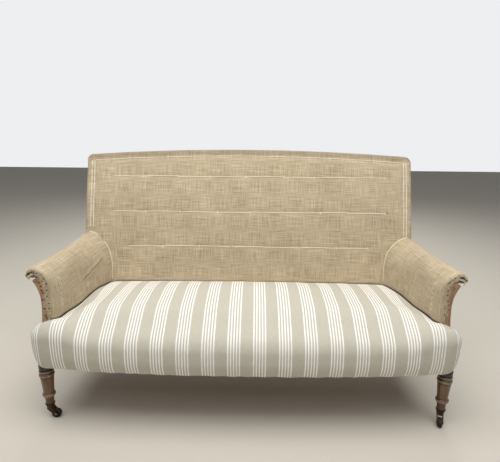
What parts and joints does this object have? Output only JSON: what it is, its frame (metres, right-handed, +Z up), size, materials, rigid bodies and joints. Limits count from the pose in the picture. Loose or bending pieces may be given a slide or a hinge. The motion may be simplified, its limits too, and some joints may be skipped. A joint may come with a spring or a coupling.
{
  "type": "sofa",
  "caption": "Low settee with a bowed striped seat, a reclined hessian back, short out-rolled arms and turned front legs on castors, part way through upholstery, its frame bare behind.",
  "frame": {"origin": "on the floor under the middle of the sofa's width and depth", "axes": "+X to the sofa's right as seen from in front, +Y to the back, +Z up; the seat faces -Y"},
  "size_m": [1.556, 0.7259, 0.9646],
  "materials": {
    "turned_leg_wood": "dark stained and polished, worn on the beads",
    "back_leg_wood": "brown stained, satin",
    "arm_facing_wood": "bare brown timber with old tack holes",
    "frame_wood": "bare beech, oiled by age",
    "jute_webbing": "close woven jute strip",
    "lining_hessian": "open plain weave",
    "hessian": "natural hessian stitched with cream twine",
    "ticking": "greige cotton ticking with groups of white stripes",
    "fibre_stuffing": "curled fibre and hair",
    "spring_wire": "coppered spring wire",
    "castor_brass": "aged, dull",
    "castor_steel": "dull steel pin",
    "castor_wheel": "dark worn tread"
  },
  "bodies": {
    "frame": {"arm_cover_left": "hessian", "arm_cover_right": "hessian", "arm_lining_left": "lining_hessian", "arm_lining_right": "lining_hessian", "arm_lower_rail_left": "frame_wood", "arm_lower_rail_right": "frame_wood", "arm_pad_left": "fibre_stuffing", "arm_pad_right": "fibre_stuffing", "arm_post_left": "arm_facing_wood", "arm_post_right": "arm_facing_wood", "arm_top_rail_left": "frame_wood", "arm_top_rail_right": "frame_wood", "arm_webbing_left": "jute_webbing", "arm_webbing_right": "jute_webbing", "back_cover": "hessian", "back_leg_left": "back_leg_wood", "back_leg_right": "back_leg_wood", "back_lining": "lining_hessian", "back_pad": "fibre_stuffing", "back_seat_rail": "frame_wood", "back_webbing": "jute_webbing", "castor_cup_back_left": "castor_brass", "castor_cup_back_right": "castor_brass", "castor_cup_front_left": "castor_brass", "castor_cup_front_right": "castor_brass", "centre_back_upright": "frame_wood", "corner_blocks": "frame_wood", "front_leg_left": "turned_leg_wood", "front_leg_right": "turned_leg_wood", "front_seat_rail": "frame_wood", "lower_back_rail": "frame_wood", "seat_cover": "ticking", "seat_spring_canvas": "lining_hessian", "seat_springs": "spring_wire", "seat_stuffing": "fibre_stuffing", "seat_webbing": "jute_webbing", "side_seat_rail_left": "frame_wood", "side_seat_rail_right": "frame_wood", "top_back_rail": "frame_wood"},
    "castor_front_left": {"castor_horn_front_left": "castor_brass", "castor_axle_front_left": "castor_steel"},
    "wheel_front_left": {"castor_wheel_front_left": "castor_wheel"},
    "castor_front_right": {"castor_horn_front_right": "castor_brass", "castor_axle_front_right": "castor_steel"},
    "wheel_front_right": {"castor_wheel_front_right": "castor_wheel"},
    "castor_back_left": {"castor_horn_back_left": "castor_brass", "castor_axle_back_left": "castor_steel"},
    "wheel_back_left": {"castor_wheel_back_left": "castor_wheel"},
    "castor_back_right": {"castor_horn_back_right": "castor_brass", "castor_axle_back_right": "castor_steel"},
    "wheel_back_right": {"castor_wheel_back_right": "castor_wheel"}
  },
  "joints": [
    {"name": "swivel_front_left", "type": "hinge", "parent": "frame", "child": "castor_front_left", "pos_m": [-0.731, -0.291, 0.05], "axis": [0, 0, 1], "continuous": true},
    {"name": "spin_front_left", "type": "hinge", "parent": "castor_front_left", "child": "wheel_front_left", "pos_m": [-0.71, -0.291, 0.0175], "axis": [0, 1, 0], "continuous": true},
    {"name": "swivel_front_right", "type": "hinge", "parent": "frame", "child": "castor_front_right", "pos_m": [0.731, -0.291, 0.05], "axis": [0, 0, 1], "continuous": true},
    {"name": "spin_front_right", "type": "hinge", "parent": "castor_front_right", "child": "wheel_front_right", "pos_m": [0.72451, -0.31097, 0.0175], "axis": [0.9511, -0.309, 0], "continuous": true},
    {"name": "swivel_back_left", "type": "hinge", "parent": "frame", "child": "castor_back_left", "pos_m": [-0.704, 0.29564, 0.05], "axis": [0, 0, 1], "continuous": true},
    {"name": "spin_back_left", "type": "hinge", "parent": "castor_back_left", "child": "wheel_back_left", "pos_m": [-0.6935, 0.31383, 0.0175], "axis": [-0.866, 0.5, 0], "continuous": true},
    {"name": "swivel_back_right", "type": "hinge", "parent": "frame", "child": "castor_back_right", "pos_m": [0.704, 0.29564, 0.05], "axis": [0, 0, 1], "continuous": true},
    {"name": "spin_back_right", "type": "hinge", "parent": "castor_back_right", "child": "wheel_back_right", "pos_m": [0.68427, 0.30283, 0.0175], "axis": [-0.342, -0.9397, 0], "continuous": true}
  ]
}
